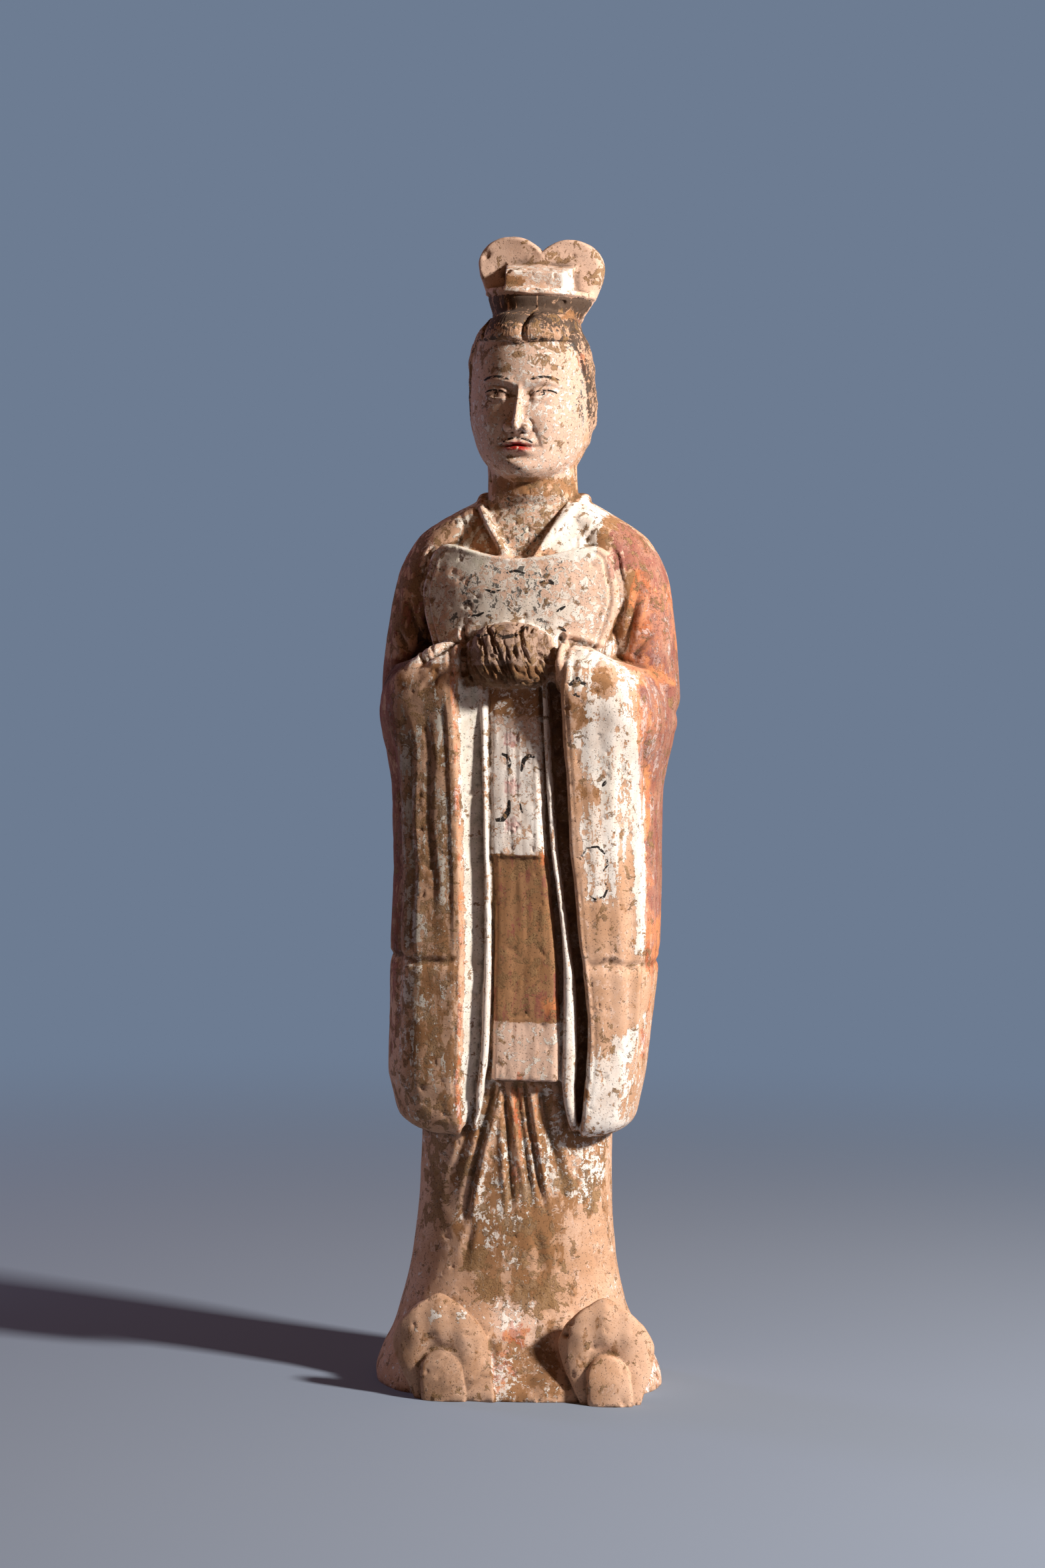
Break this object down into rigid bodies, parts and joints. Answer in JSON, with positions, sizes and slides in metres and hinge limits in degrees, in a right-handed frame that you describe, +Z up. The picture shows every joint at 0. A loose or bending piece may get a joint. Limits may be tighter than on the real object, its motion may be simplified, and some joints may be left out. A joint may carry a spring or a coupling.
{
  "type": "terracotta court official figure",
  "caption": "Standing tomb figure of a court official in a long robe, hands clasped at the waist in wide hanging sleeves, in worn painted terracotta.",
  "frame": {"origin": "on the flat underside, below the upright axis of the body", "axes": "+Z up along the body, -Y the way the feet point, +X to the figure's left"},
  "size_m": [0.2397, 0.1966, 0.908],
  "materials": {
    "terracotta": "matte fired clay with worn white slip and paint"
  },
  "bodies": {
    "root": {"court_official_figure": "terracotta"}
  },
  "joints": []
}
